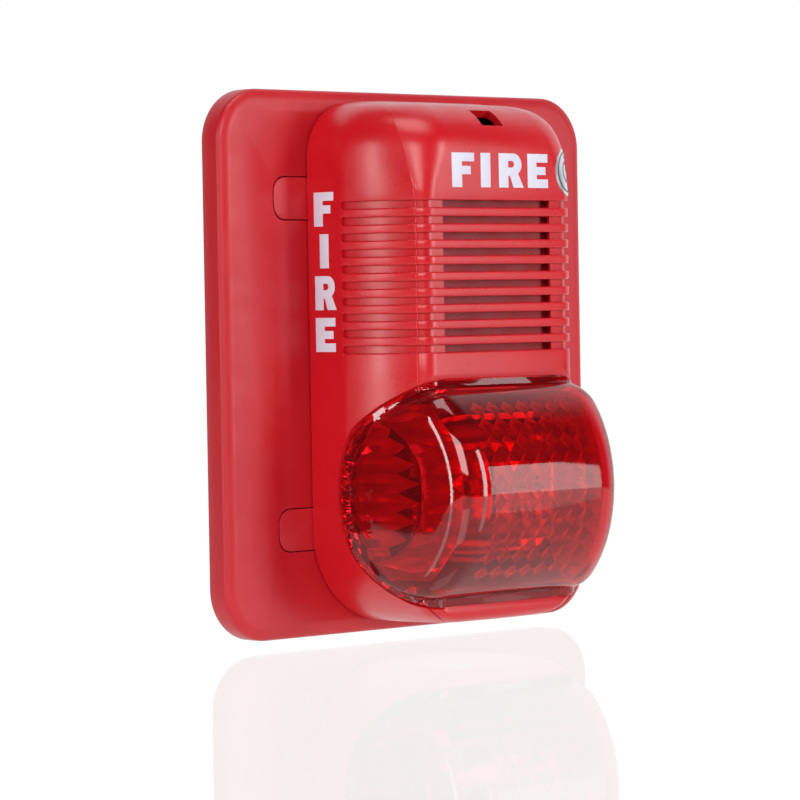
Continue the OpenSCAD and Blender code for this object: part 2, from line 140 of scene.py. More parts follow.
# The round label, centred LABEL_S round the head's section from the middle of the front
LABEL_R = 6.7
LABEL_Z = 51.9
LABEL_S = 28.7

# The lettering: the word's height on the front, and its letters' pitch, top and middle on the sides
INK_T = 0.12
FRONT_WORD_Z = 47.4
SIDE_LETTER_TOP = 37.5
SIDE_LETTER_PITCH = 11.4
SIDE_LETTER_MIDDLE = 7.0

# The camera, as azimuth and elevation in degrees, distance in metres, and lens and sensor in millimetres
CAMERA_AZIMUTH = -42.73
CAMERA_ELEVATION = 1.56
CAMERA_ROLL = -0.98
CAMERA_DISTANCE = 1.039
CAMERA_LENS = 165.4


def place(x, d, z):
    """A point at X, depth and Z in millimetres, in the frame's metres."""
    return Vector((x * MM, (-PLATE_T - d) * MM, z * MM))


# ---- Making pieces ----

def finish_mesh(mesh, sharp_angle):
    """Joins doubled points, turns the faces outwards and shades them smooth up to the sharp angle."""
    bm = bmesh.new()
    bm.from_mesh(mesh)
    bmesh.ops.remove_doubles(bm, verts=bm.verts, dist=0.002 * MM)
    bmesh.ops.dissolve_degenerate(bm, edges=bm.edges, dist=0.001 * MM)
    bmesh.ops.recalc_face_normals(bm, faces=bm.faces)
    bm.to_mesh(mesh)
    bm.free()
    mesh.shade_smooth()
    if sharp_angle:
        mesh.set_sharp_from_angle(angle=math.radians(sharp_angle))


def linked(name, data):
    """A new object in the scene."""
    obj = bpy.data.objects.new(name, data)
    bpy.context.collection.objects.link(obj)
    return obj


def raw_object(name, points, faces):
    mesh = bpy.data.meshes.new(name)
    mesh.from_pydata([place(*p) for p in points], [], faces)
    return linked(name, mesh)


def applied(obj):
    """Puts the modifiers' result into the object's own mesh."""
    graph = bpy.context.evaluated_depsgraph_get()
    mesh = bpy.data.meshes.new_from_object(obj.evaluated_get(graph))
    old = obj.data
    obj.modifiers.clear()
    obj.data = mesh
    bpy.data.meshes.remove(old)


def boolean(obj, cutter, operation="DIFFERENCE"):
    """Cuts the cutter out of the object, or joins it on, and removes the cutter."""
    for part in (obj, cutter):
        finish_mesh(part.data, None)
    cut = obj.modifiers.new("cut", "BOOLEAN")
    cut.object = cutter
    cut.operation = operation
    cut.solver = "EXACT"
    applied(obj)
    bpy.data.objects.remove(cutter, do_unlink=True)


def bevel(obj, width):
    """Softens an object's sharp edges."""
    soft = obj.modifiers.new("soft", "BEVEL")
    soft.width = width * MM
    soft.segments = 2
    soft.limit_method = "ANGLE"
    soft.angle_limit = math.radians(50)
    soft.miter_outer = "MITER_ARC"
    applied(obj)


def piece(obj, body, material, replaces=(), sharp_angle=35):
    """Finishes an object as a visible piece that rides on a body."""
    finish_mesh(obj.data, sharp_angle)
    for one in material if isinstance(material, (list, tuple)) else [material]:
        obj.data.materials.append(one)
    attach(obj, body)
    if replaces:
        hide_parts(*replaces)


def lofted(name, rings):
    """A closed solid through rings of points of equal length."""
    count = len(rings[0])
    last = (len(rings) - 1) * count
    faces = []
    for low in range(0, last, count):
        for i in range(count):
            j = (i + 1) % count
            faces.append((low + i, low + j, low + count + j, low + count + i))
    faces.append(tuple(range(count)))
    faces.append(tuple(range(last, last + count)))
    return raw_object(name, [p for ring in rings for p in ring], faces)


def rounded_outline(half_w, top, bottom, r_top, r_bottom, steps=14):
    """Points (x, z) round an upright outline with its own corner radii."""
    points = []
    corners = (
        (half_w - r_top, top - r_top, r_top, 0),
        (r_top - half_w, top - r_top, r_top, 90),
        (r_bottom - half_w, bottom + r_bottom, r_bottom, 180),
        (half_w - r_bottom, bottom + r_bottom, r_bottom, 270),
    )
    for cx, cz, r, start in corners:
        for n in range(steps + 1):
            a = math.radians(start + 90 * n / steps)
            points.append((cx + r * math.cos(a), cz + r * math.sin(a)))
    return points


def head_outline(inset):
    top = HEAD_HALF_H - inset
    return rounded_outline(HEAD_HALF_W - inset, top, -top, TOP_CORNER - inset, BOTTOM_CORNER - inset)


def prism(name, outline, d0, d1):
    """A closed prism of an (x, z) outline from depth d0 to d1."""
    return lofted(name, [[(x, d, z) for x, z in outline] for d in (d0, d1)])


# ---- The head's form ----

def half_width(z, inset):
    """Half the head's width at height z."""
    top_centre = HEAD_HALF_H - TOP_CORNER
    bottom_centre = BOTTOM_CORNER - HEAD_HALF_H
    wide = HEAD_HALF_W - inset
    r_top = TOP_CORNER - inset
    r_bottom = BOTTOM_CORNER - inset
    top = HEAD_HALF_W - TOP_CORNER + np.sqrt(np.maximum(r_top ** 2 - (z - top_centre) ** 2, 0))
    bottom = HEAD_HALF_W - BOTTOM_CORNER + np.sqrt(np.maximum(r_bottom ** 2 - (z - bottom_centre) ** 2, 0))
    return np.where(z > top_centre, top, np.where(z < bottom_centre, bottom, wide))


def end_profile(height, inset, roll):
    """Shape of a rolled end: (1 falling to 0 over the roll, 0 rising to 1 over the sloping end face)."""
    turn = np.clip((height - HEAD_HALF_H + roll) / (roll - END_SLOPE - inset), 0, 1)
    slope = np.clip((height - HEAD_HALF_H + END_SLOPE + inset) / END_SLOPE, 0, 1)
    return np.sqrt(1 - turn ** 2), slope


def front_depth(z, inset):
    """Depth of the head's front at height z, with the rolled top and bottom edges."""
    rise, slope = end_profile(z, inset, TOP_ROLL)
    low_rise, low_slope = end_profile(-z, inset, BOTTOM_ROLL)
    top = TOP_ROLL_D - (TOP_ROLL_D - inset) * rise + slope * (HEAD_D - TOP_ROLL_D - END_DEPTH)
    bottom = BOTTOM_ROLL - (BOTTOM_ROLL - inset) * low_rise
    bottom = bottom + low_slope * (HEAD_D - BOTTOM_ROLL - END_DEPTH)
    return HEAD_D - np.where(z > 0, top, bottom)


def facet_corners(z, inset, edge_r):
    """The two corner centres of the rounded plan section at height z."""
    side = half_width(z, inset) - edge_r
    front = front_depth(z, inset) - edge_r
    rise, slope = end_profile(z, inset, TOP_ROLL)
    reach = FACET_NORMAL @ np.array([HEAD_HALF_W, SIDE_D]) - inset - edge_r
    reach = reach - FACET_ROLL * (1 - rise) - 0.7 * FACET_ROLL * slope
    d1 = (reach - FACET_NORMAL[0] * side) / FACET_NORMAL[1]
    x2 = (reach - FACET_NORMAL[1] * front) / FACET_NORMAL[0]
    plain = d1 >= front
    d1 = np.where(plain, front, d1)
    x2 = np.where(plain, side, x2)
    return side, d1, x2, front


def dome_share(z):
    """0 up to the lettering, rising to 1 where the top has become a smooth dome."""
    t = np.clip((z - 44) / 19, 0, 1)
    return t * t * (3 - 2 * t)


def edge_radius(z):
    """Rounding of the head's upright edges, larger where the top rolls over."""
    wide = EDGE_R + 10.0 * dome_share(z)
    return np.minimum(wide, 0.8 * front_depth(z, 0) - 1)


def front_drop(x, x2):
    """How far the slightly domed front falls back at x; x2 is where the front turns into the facet."""
    return FRONT_CROWN * (np.minimum(np.abs(x), x2) / np.maximum(x2, 1)) ** 2


def half_section(z, inset):
    """Plan section from the right side's back to the middle of the front: (x, d, nx, nd, groove).

    groove is 0 on plain wall, 1 where the slots' grooves run and 2 where a slot is open.
    """
    edge_r = float(edge_radius(z)) - inset
    side, d1, x2, front = (float(v) for v in facet_corners(z, inset, edge_r))
    points = []
    for n in range(7):
        t = n / 7
        points.append((side + edge_r, COVER_BACK + (d1 - COVER_BACK) * t, 1, 0, 0))
    for share, groove in ((0, 0), (0.17, 0), (0.2, 1), (0.4, 1), (0.6, 1), (0.8, 1), (1, 1)):
        a = (FACET_LEAN - FACET_BOW) * share
        nx = math.cos(a)
        nd = math.sin(a)
        points.append((side + edge_r * nx, d1 + edge_r * nd, nx, nd, groove))
    long = math.hypot(x2 - side, front - d1)
    bow_r = long / (2 * math.sin(FACET_BOW))
    for t in (0.04, 0.12, 0.2, 0.32, 0.44, 0.56, 0.68, 0.8, 0.88, 0.96):
        turn = math.asin((2 * t - 1) * math.sin(FACET_BOW))
        nx = math.cos(FACET_LEAN + turn)
        nd = math.sin(FACET_LEAN + turn)
        along = bow_r * math.sin(turn)
        out = bow_r * (math.cos(turn) - math.cos(FACET_BOW))
        x = (side + x2) / 2 - FACET_NORMAL[1] * along + FACET_NORMAL[0] * out + nx * edge_r
        d = (d1 + front) / 2 + FACET_NORMAL[0] * along + FACET_NORMAL[1] * out + nd * edge_r
        points.append((x, d, nx, nd, 1))
    level = front + edge_r
    for n in range(9):
        a = FACET_LEAN + FACET_BOW + (math.pi / 2 - FACET_LEAN - FACET_BOW) * n / 9
        nx = math.cos(a)
        nd = math.sin(a)
        x = x2 + edge_r * nx
        points.append((x, front + edge_r * nd - front_drop(x, x2), nx, nd, 1))
    wide = min(GRILLE_HALF_W, x2 * 0.94)
    solid = (x2, (x2 + wide) / 2, wide)
    open_part = (wide - 0.03, wide * 0.78, wide * 0.6, wide * 0.4, RELEASE_HALF_W, RELEASE_HALF_W / 2, 0)
    for x, groove in [(x, 1) for x in solid] + [(x, 2) for x in open_part]:
        tilt = 2 * front_drop(x, x2) / max(x, 1)
        points.append((x, level - front_drop(x, x2), tilt, 1, groove))
    return points


def cover_rows():
    """The cover's rows as (outer z, inner z, slot share): 0 on plain ground, 1 at a slot's full depth."""
    rows = []
    roll_centre = HEAD_HALF_H - TOP_ROLL
    low_centre = BOTTOM_ROLL - HEAD_HALF_H
    for n in range(3):
        z = END_SLOPE * n / 3 - HEAD_HALF_H
        rows.append((z, z + COVER_WALL, 0))
    for n in range(9):
        s = math.sin(math.radians(90 - 90 * n / 8))
        reach = BOTTOM_ROLL - END_SLOPE
        rows.append((low_centre - reach * s, low_centre - (reach - COVER_WALL) * s, 0))
    for n in range(1, 23):
        z = low_centre + (-3.0 - low_centre) * n / 22
        rows.append((z, z, 0))
    for n in range(SLOT_COUNT - 1, -1, -1):
        centre = SLOT_TOP - n * SLOT_PITCH
        edge = []
        for a in (0, 35, 65, 90):
            a = math.radians(a)
            off = SLOT_HALF_H + SLOT_LIP * (1 - math.sin(a))
            edge.append((off, SLOT_LIP * (1 - math.cos(a)) / GROOVE_DEPTH))
        for off, share in edge:
            rows.append((centre - off, centre - off, share))
        rows.append((centre - SLOT_HALF_H + 0.03, centre - SLOT_HALF_H + 0.03, 1))
        rows.append((centre + SLOT_HALF_H - 0.03, centre + SLOT_HALF_H - 0.03, 1))
        for off, share in reversed(edge):
            rows.append((centre + off, centre + off, share))
    for n in range(1, 7):
        z = 45.5 + (roll_centre - 45.5) * n / 6
        rows.append((z, z, 0))
    reach = TOP_ROLL - END_SLOPE
    roll_angles = [90 * n / 18 for n in range(1, 19)]
    for level in (RELEASE_BOTTOM, RELEASE_TOP):
        exact = math.degrees(math.asin((level - roll_centre) / reach))
        nearest = min(range(len(roll_angles)), key=lambda i: abs(roll_angles[i] - exact))
        roll_angles[nearest] = exact
    for a in roll_angles:
        s = math.sin(math.radians(a))
        rows.append((roll_centre + reach * s, roll_centre + (reach - COVER_WALL) * s, 0))
    for n in range(1, 4):
        z = HEAD_HALF_H - END_SLOPE * (1 - n / 3)
        rows.append((z, z - COVER_WALL, 0))
    return rows


def full_row(z, inset, share):
    """One row of the cover from its right back edge over the front to its left back edge."""
    half = half_section(z, inset)
    row = []
    for mirror, points in ((1, half), (-1, half[-2::-1])):
        for x, d, nx, nd, groove in points:
            depth = 0
            if groove and share:
                depth = GROOVE_DEPTH * share
                if groove == 2 and share == 1:
                    depth = COVER_WALL - 0.2
            row.append((mirror * (x - nx * depth), d - nd * depth, z))
    return row, [p[4] for p in half] + [p[4] for p in half[-2::-1]]


# Where each neighbour of a cell lies, and the cell's two corners on the way to it, as (row, column) steps
NEIGHBOURS = (
    (0, 1, (0, 1), (1, 1)),
    (0, -1, (1, 0), (0, 0)),
    (1, 0, (1, 1), (1, 0)),
    (-1, 0, (0, 0), (0, 1)),
)


def cover_mesh():
    """The cover as one closed shell, open through its slots and its release slot."""
    rows = cover_rows()
    outer = []
    inner = []
    for z_out, z_in, share in rows:
        row, grooves = full_row(z_out, 0, share)
        outer.append(row)
        inner.append(full_row(z_in, COVER_WALL, 0)[0])
    count = len(outer[0])
    total = len(rows) * count
    points = [p for row in outer for p in row] + [p for row in inner for p in row]
    faces = []

    def is_open(r, i):
        if r < 0 or r >= len(rows) - 1 or i < 0 or i >= count - 1:
            return None
        slot = rows[r][2] == 1 and rows[r + 1][2] == 1
        x0, x1 = (abs(outer[r][k][0]) for k in (i, i + 1))
        in_slot = slot and grooves[i] == 2 and grooves[i + 1] == 2
        levels = (rows[r][0], rows[r + 1][0])
        in_release = min(levels) >= RELEASE_BOTTOM - 0.01 and max(levels) <= RELEASE_TOP + 0.01
        return in_slot or (in_release and max(x0, x1) <= RELEASE_HALF_W + 0.01)

    def at(r, i, side):
        return side * total + r * count + i

    for r in range(len(rows) - 1):
        for i in range(count - 1):
            if is_open(r, i):
                continue
            faces.append((at(r, i, 0), at(r, i + 1, 0), at(r + 1, i + 1, 0), at(r + 1, i, 0)))
            faces.append((at(r, i, 1), at(r + 1, i, 1), at(r + 1, i + 1, 1), at(r, i + 1, 1)))
            for dr, di, a, b in NEIGHBOURS:
                if is_open(r + dr, i + di):
                    ra, ia = r + a[0], i + a[1]
                    rb, ib = r + b[0], i + b[1]
                    faces.append((at(ra, ia, 0), at(ra, ia, 1), at(rb, ib, 1), at(rb, ib, 0)))
        for i in (0, count - 1):
            faces.append((at(r, i, 0), at(r + 1, i, 0), at(r + 1, i, 1), at(r, i, 1)))
    for r in (0, len(rows) - 1):
        for side in (0, 1):
            faces.append(tuple(at(r, i, side) for i in range(count)))
        faces.append((at(r, 0, 0), at(r, count - 1, 0), at(r, count - 1, 1), at(r, 0, 1)))
    return raw_object("head_cover_shell", points, faces)


# ---- The lens's form ----

LENS_EYE = np.array([0.0, 20.0, LENS_Z])
LENS_CELLS = 180


def smooth_max(a, b, k):
    """The larger of two distances, blended over k so that the edge where they meet is round."""
    h = np.clip(k - np.abs(a - b), 0, None) / k
    return np.maximum(a, b) + h * h * k * 0.25


def window_distance(x, d, z):
    """Below 0 inside the window that the lens fills."""
    r = np.where(z > LENS_Z, WINDOW_TOP_R, WINDOW_BOTTOM_R)
    qx = np.abs(x) - HEAD_HALF_W + r
    qz = np.abs(z - LENS_Z) - LENS_HALF_H + r
    outline = np.hypot(np.maximum(qx, 0), np.maximum(qz, 0)) + np.minimum(np.maximum(qx, qz), 0) - r
    edge = np.hypot(d - WINDOW_D, z - WINDOW_Z) - WINDOW_R
    return outline, edge


def head_distance(x, d, z):
    """Below 0 inside the head, measured in its plan section."""
    edge_r = edge_radius(z)
    side, d1, x2, front = facet_corners(z, 0, edge_r)
    x = np.abs(x)
    long = np.maximum(np.hypot(x2 - side, front - d1), 1e-6)
    bow_r = long / (2 * math.sin(FACET_BOW))
    bow_x = (side + x2) / 2 - FACET_NORMAL[0] * bow_r * math.cos(FACET_BOW)
    bow_d = (d1 + front) / 2 - FACET_NORMAL[1] * bow_r * math.cos(FACET_BOW)
    ahead = FACET_NORMAL[0] * (x - bow_x) + FACET_NORMAL[1] * (d - bow_d)
    across = FACET_NORMAL[0] * (d - bow_d) - FACET_NORMAL[1] * (x - bow_x)
    bowed = np.abs(across) < ahead * math.tan(FACET_BOW)
    plane = FACET_NORMAL[0] * (x - side) + FACET_NORMAL[1] * (d - d1)
    facet = np.where(bowed, np.hypot(ahead, across) - bow_r, plane)
    front = front - front_drop(x, x2)
    flat = np.maximum(np.maximum(x - side, d - front), facet)
    a1 = np.arctan2(d - d1, x - side)
    a2 = np.arctan2(d - front, x - x2)
    near1 = (a1 > 0) & (a1 < FACET_LEAN - FACET_BOW)
    near2 = (a2 > FACET_LEAN + FACET_BOW) & (a2 < math.pi / 2)
    flat = np.where(near1, np.hypot(x - side, d - d1), flat)
    flat = np.where(near2, np.hypot(x - x2, d - front), flat)
    return flat - edge_r


def lens_distance(x, d, z):
    """Below 0 inside the lens's outer surface: a drum with soft edges inside the window."""
    outline, edge = window_distance(x, d, z)
    drum = np.hypot(d - (LENS_D - LENS_FRONT_R), z - LENS_Z) - LENS_FRONT_R
    corner = np.array([LENS_CORNER_X, LENS_D - LENS_CORNER_R])
    start = np.array([HEAD_HALF_W, LENS_SIDE_D])
    v = corner - start
    lean = math.atan2(v[1], v[0]) - math.asin(LENS_CORNER_R / np.linalg.norm(v)) - math.pi / 2
    side = math.cos(lean) * (np.abs(x) - start[0]) + math.sin(lean) * (d - start[1])
    body = smooth_max(drum, side, 8.0)
    rim = smooth_max(outline, edge, 2.0)
    body = smooth_max(body, rim + LEDGE_W, 3.0)
    ledge = np.maximum(head_distance(x, d, z) - LEDGE_LIFT, rim)
    return np.minimum(body, ledge)


def along_ray(direction, distance, level=0.0, origin=LENS_EYE):
    """How far along each ray the distance field first reaches the level."""
    low = np.zeros(direction.shape[:-1])
    high = np.full(direction.shape[:-1], 90.0)
    for _ in range(45):
        middle = 0.5 * (low + high)
        p = origin + direction * middle[..., None]
        outside = distance(p[..., 0], p[..., 1], p[..., 2]) > level
        high = np.where(outside, middle, high)
        low = np.where(outside, low, middle)
    return 0.5 * (low + high)


def ray(theta, tau):
    """Direction at angle theta from straight ahead, turned by tau round that axis."""
    return np.stack([np.sin(theta) * np.cos(tau), np.cos(theta), np.sin(theta) * np.sin(tau)], axis=-1)


def rim_angles(tau, grow=0.0):
    """For each tau, the angle at which a ray leaves the head at the window's edge."""
    low = np.full(tau.shape, math.radians(25))
    high = np.full(tau.shape, math.radians(130))
    for _ in range(40):
        theta = 0.5 * (low + high)
        direction = ray(theta, tau)
        t = along_ray(direction, head_distance)
        p = LENS_EYE + direction * t[..., None]
        outline, edge = window_distance(p[..., 0], p[..., 1], p[..., 2])
        outside = np.maximum(outline, edge) > grow
        high = np.where(outside, theta, high)
        low = np.where(outside, low, theta)
    return 0.5 * (low + high)


def lens_outside():
    """The smooth outside as a square grid of points, with the ray through each."""
    line = np.linspace(-1, 1, LENS_CELLS + 1)
    a, b = np.meshgrid(line, line, indexing="ij")
    share = np.maximum(np.abs(a), np.abs(b))
    tau = np.arctan2(b, a)
    ring = np.linspace(-math.pi, math.pi, 361)
    direction = ray(share * np.interp(tau, ring, rim_angles(ring)), tau)
    reach = along_ray(direction, lens_distance)
    return LENS_EYE + direction * reach[..., None], direction


def hit(origin, direction):
    """Where a ray from inside the lens meets its inner wall."""
    origin = np.array(origin, dtype=float)
    direction = np.array(direction, dtype=float)
    direction = direction / np.linalg.norm(direction)
    reach = along_ray(direction[None, :], lens_distance, -LENS_WALL, origin)
    return origin + direction * reach[0]


def inner_levels():
    """Heights of the inner rows: two to each row of prisms, then a few up to the rim."""
    r = LENS_FRONT_R - LENS_WALL
    turns = [math.radians(ROW_TURN / 2 * k) for k in range(-ROWS, ROWS + 1)]
    levels = [(LENS_Z + r * math.sin(t), k % 2) for k, t in enumerate(turns)]
    low, high = levels[0][0], levels[-1][0]
    bottom = LENS_Z - LENS_HALF_H + LENS_WALL + LEDGE_W + 0.8
    top = LENS_Z + LENS_HALF_H - LENS_WALL - LEDGE_W - 1.2
    below = [(bottom + (low - bottom) * n / 3, 0) for n in range(3)]
    above = [(high + (top - high) * n / 3, 0) for n in range(1, 4)]
    return below + levels + above, len(below)


def inner_row(z, odd, in_patch):
    """Points of one inner row from the middle to the right rim, and the lift of the optics there."""
    rise = z - LENS_Z
    end_d = WINDOW_D - math.sqrt(WINDOW_R ** 2 - (z - WINDOW_Z) ** 2) + LEDGE_W + LENS_WALL
    points = []
    for k in range(COLUMNS + 1):
        x = (k + 0.5 * (COLUMNS % 2 == 0)) * COLUMN_PITCH / 2
        p = hit((x, end_d, z), (0, 1, 0))
        apex = in_patch and odd and (k + COLUMNS) % 2 == 1
        points.append((p, (0, -PRISM_H if apex else 0)))
    front_d = points[-1][0][1]
    p = hit((COLUMNS * COLUMN_PITCH / 2 + 2.6, end_d, z), (0, 1, 0))
    points.append((p, (0, 0)))
    start = end_d + (p[1] - end_d) * 0.35
    ring_out = LENS_FRONT_R - 4.5
    ring_in = LENS_FRONT_R - 15.0
    star_start = LENS_D - LENS_FRONT_R + math.sqrt(max(ring_out ** 2 - rise ** 2, 0))
    star_end = LENS_D - LENS_FRONT_R + math.sqrt(max(ring_in ** 2 - rise ** 2, 0))
    star_start = min(max(star_start, end_d + 2.0), front_d - 2.5)
    star_end = min(max(star_end, end_d + 1.0), star_start - 0.5)
    first = math.atan2(p[0] - 16, p[1] - start)
    side = hit((0, star_start, z), (1, 0, 0))
    last = math.atan2(side[0] - 16, side[1] - start)
    for n in range(1, 6):
        a = first + (last - first) * n / 6
        points.append((hit((16, start, z), (math.sin(a), math.cos(a), 0)), (0, 0)))
    points.append((side, (0, 0)))
    star = odd and in_patch and star_start - star_end > 3
    points.append((hit((0, 0.6 * star_start + 0.4 * star_end, z), (1, 0, 0)), (-STAR_H if star else 0, 0)))
    flute = odd and in_patch and star_end - end_d > 3
    points.append((hit((0, star_end, z), (1, 0, 0)), (0, 0)))
    for share in (0.06, 0.36, 0.68, 0.94, 1.0):
        d = star_end + (end_d - star_end) * share
        lift = -FLUTE_H if flute and 0.06 < share < 1 else 0
        points.append((hit((0, d, z), (1, 0, 0)), (lift, 0)))
    return points


def lens_inside():
    """Rows of inner points from left to right, from the bottom up."""
    levels, first = inner_levels()
    rows = []
    for n, (z, odd) in enumerate(levels):
        half = inner_row(z, odd, first <= n < first + 2 * ROWS + 1)
        right = [((p[0] + lift[0], p[1] + lift[1], z), lift != (0, 0)) for p, lift in half]
        rows.append([((-p[0], p[1], p[2]), on) for p, on in right[:0:-1]] + right)
    return rows


def angle_round(point):
    return math.atan2(point[2] - LENS_Z, point[0])


def by_angle(loop, points):
    """The loop turned so that its angles round the lens's axis rise from the first point on."""
    angles = [angle_round(points[k]) for k in loop]
    start = angles.index(min(angles))
    return loop[start:] + loop[:start]


def zipped(points, loop_a, loop_b):
    """Triangles between two loops that run the same way round the lens's axis."""
    a = by_angle(loop_a, points)
    b = by_angle(loop_b, points)
    turn_a = [angle_round(points[k]) for k in a] + [angle_round(points[a[0]]) + 2 * math.pi]
    turn_b = [angle_round(points[k]) for k in b] + [angle_round(points[b[0]]) + 2 * math.pi]
    faces = []
    i = j = 0
    while i < len(a) or j < len(b):
        if j == len(b) or (i < len(a) and turn_a[i + 1] <= turn_b[j + 1]):
            faces.append((a[i], a[(i + 1) % len(a)], b[j % len(b)]))
            i += 1
        else:
            faces.append((a[i % len(a)], b[(j + 1) % len(b)], b[j]))
            j += 1
    return faces


def lens_mesh():
    """The lens as one closed shell: smooth outside, neck at the rim, and optics inside."""
    outer, direction = lens_outside()
    n = LENS_CELLS + 1
    points = [tuple(p) for p in outer.reshape(-1, 3)]
    faces = []
    for i in range(LENS_CELLS):
        for j in range(LENS_CELLS):
            k = i * n + j
            faces.append((k, k + 1, k + n + 1, k + n))
    edge = [(i, 0) for i in range(n)] + [(n - 1, j) for j in range(1, n)]
    edge += [(i, n - 1) for i in range(n - 2, -1, -1)] + [(0, j) for j in range(n - 2, 0, -1)]
    rim = [i * n + j for i, j in edge]
    neck = []
    for i, j in edge:
        neck.append(len(points))
        points.append(tuple(outer[i, j] - direction[i, j] * (COVER_WALL + 0.4)))
    faces += zipped(points, rim, neck)
    rows = lens_inside()
    smooth_faces = len(faces)
    base = len(points)
    wide = len(rows[0])
    points += [p for row in rows for p, _ in row]
    lifted = [on for row in rows for _, on in row]
    for r in range(len(rows) - 1):
        for c in range(wide - 1):
            k = base + r * wide + c
            corners = (k, k + 1, k + wide + 1, k + wide)
            if (r + c + wide // 2) % 2:
                faces += [(corners[0], corners[1], corners[2]), (corners[0], corners[2], corners[3])]
            else:
                faces += [(corners[0], corners[1], corners[3]), (corners[1], corners[2], corners[3])]
    high = len(rows) - 1
    loop = [base + c for c in range(wide)]
    loop += [base + r * wide + wide - 1 for r in range(1, high)]
    loop += [base + high * wide + c for c in range(wide - 1, -1, -1)]
    loop += [base + r * wide for r in range(high - 1, 0, -1)]
    optics = len(faces)
    faces += zipped(points, neck, loop)
    obj = raw_object("lens_shell", points, faces)
    # Faces that touch the raised optics take the second material, the brighter and cloudier copy of the
    # lens plastic that paints their inner sheen
    for polygon in obj.data.polygons[smooth_faces:optics]:
        if any(lifted[k - base] for k in polygon.vertices):
            polygon.material_index = 1
    return obj


def window_cutter():
    """A cone from inside the head through the window's edge, with a small gap round the lens."""
    tau = np.linspace(-math.pi, math.pi, 241)[:-1]
    theta = rim_angles(tau, 0.35)
    direction = ray(theta, tau)
    points = [tuple(LENS_EYE)] + [tuple(LENS_EYE + 75 * v) for v in direction]
    points.append((0, LENS_EYE[1] + 80, LENS_Z))
    count = len(tau)
    faces = []
    for i in range(count):
        j = (i + 1) % count
        faces.append((0, 1 + i, 1 + j))
        faces.append((count + 1, 1 + j, 1 + i))
    return raw_object("window_cutter", points, faces)


# ---- Materials ----

def fill(tree, node, inputs):
    """Sets a node's inputs by name or number; an input given as a node's output is linked to it."""
    for key, value in inputs.items():
        if isinstance(value, bpy.types.NodeSocket):
            tree.links.new(value, node.inputs[key])
        else:
            node.inputs[key].default_value = value
    return node


def add(tree, kind, inputs):
    return fill(tree, tree.nodes.new("ShaderNode" + kind), inputs)


def new_material(name):
    material = bpy.data.materials.new(name)
    material.use_nodes = True
    return material, material.node_tree, material.node_tree.nodes["Principled BSDF"]


def noise(tree, scale, detail=3.0):
    """A noise texture's value in the object's own coordinates."""
    where = add(tree, "TexCoord", {}).outputs["Object"]
    made = add(tree, "TexNoise", {"Scale": scale, "Detail": detail, "Roughness": 0.5, "Vector": where})
    return made.outputs["Fac"]


def ranged(tree, value, low, high, from_low=0.2, from_high=0.8):
    """A value eased from one range into another."""
    ends = {"From Min": from_low, "From Max": from_high, "To Min": low, "To Max": high}
    made = add(tree, "MapRange", {**ends, "Value": value})
    made.interpolation_type = "SMOOTHSTEP"
    return made.outputs["Result"]


def mixed(tree, factor, a, b):
    """A blend of two colours, each given as numbers or as a node's output."""
    made = tree.nodes.new("ShaderNodeMix")
    made.data_type = "RGBA"
    for key, value in ((0, factor), (6, a), (7, b)):
        fill(tree, made, {key: (*value, 1) if isinstance(value, tuple) else value})
    return made.outputs[2]


def worn_edges(tree, radius):
    """About 1 along sharp outer edges and 0 on flat ground."""
    soft = add(tree, "Bevel", {"Radius": radius})
    soft.samples = 4
    plain = tree.nodes.new("ShaderNodeNewGeometry")
    dot = add(tree, "VectorMath", {0: soft.outputs["Normal"], 1: plain.outputs["Normal"]})
    dot.operation = "DOT_PRODUCT"
    return ranged(tree, dot.outputs["Value"], 1.0, 0.0, 0.70, 0.94)


def bumped(tree, height, distance):
    return add(tree, "Bump", {"Distance": distance, "Strength": 1.0, "Height": height}).outputs["Normal"]


def moulded(name, colour, rough, grain=1800.0, grain_height=0.000012, spread=0.08, wear=0.25, coat=0.0):
    """Moulded plastic: fine grain, faint flow marks, uneven gloss and paler rubbed edges."""
    material, tree, shader = new_material(name)
    darker = tuple(c * (1 - spread) for c in colour)
    paler = tuple(min(1, c * (1 + spread)) for c in colour)
    ground = mixed(tree, ranged(tree, noise(tree, 22.0, 4.0), 0.0, 1.0), darker, paler)
    if wear:
        patches = ranged(tree, noise(tree, 240.0), 0.0, wear)
        worn = add(tree, "Math", {0: worn_edges(tree, 0.0007), 1: patches})
        worn.operation = "MULTIPLY"
        edge = tuple(min(1, c * 0.75 + 0.12) for c in colour)
        ground = mixed(tree, worn.outputs[0], ground, edge)
    fill(tree, shader, {
        "Base Color": ground,
        "Roughness": ranged(tree, noise(tree, 130.0, 5.0), rough * 0.86, rough * 1.18),
        "Coat Weight": coat,
        "Coat Roughness": 0.16,
        "IOR": 1.5,
        "Normal": bumped(tree, noise(tree, grain, 2.0), grain_height),
    })
    return material


def metal(name, colour, rough, scratch=900.0):
    """Metal with fine drawn marks and dull patches."""
    material, tree, shader = new_material(name)
    patches = noise(tree, 160.0, 4.0)
    duller = tuple(c * 0.78 for c in colour)
    fill(tree, shader, {
        "Metallic": 1.0,
        "Base Color": mixed(tree, ranged(tree, patches, 0, 1), duller, colour),
        "Roughness": ranged(tree, patches, rough * 1.3, rough * 0.8),
        "Normal": bumped(tree, noise(tree, scratch, 2.0), 0.000008),
    })
    return material


def clear(name, colour, ior, rough, clearness=1.0):
    """Clear plastic or glass with faint moulding ripples; below 1, clearness leaves some body colour."""
    material, tree, shader = new_material(name)
    deeper = tuple(c * 0.92 for c in colour)
    fill(tree, shader, {
        "Transmission Weight": clearness,
        "IOR": ior,
        "Base Color": mixed(tree, ranged(tree, noise(tree, 30.0), 0, 1), deeper, colour),
        "Roughness": ranged(tree, noise(tree, 300.0), rough * 0.7, rough * 1.4),
        "Normal": bumped(tree, noise(tree, 90.0, 1.0), 0.000002),
    })
    return material


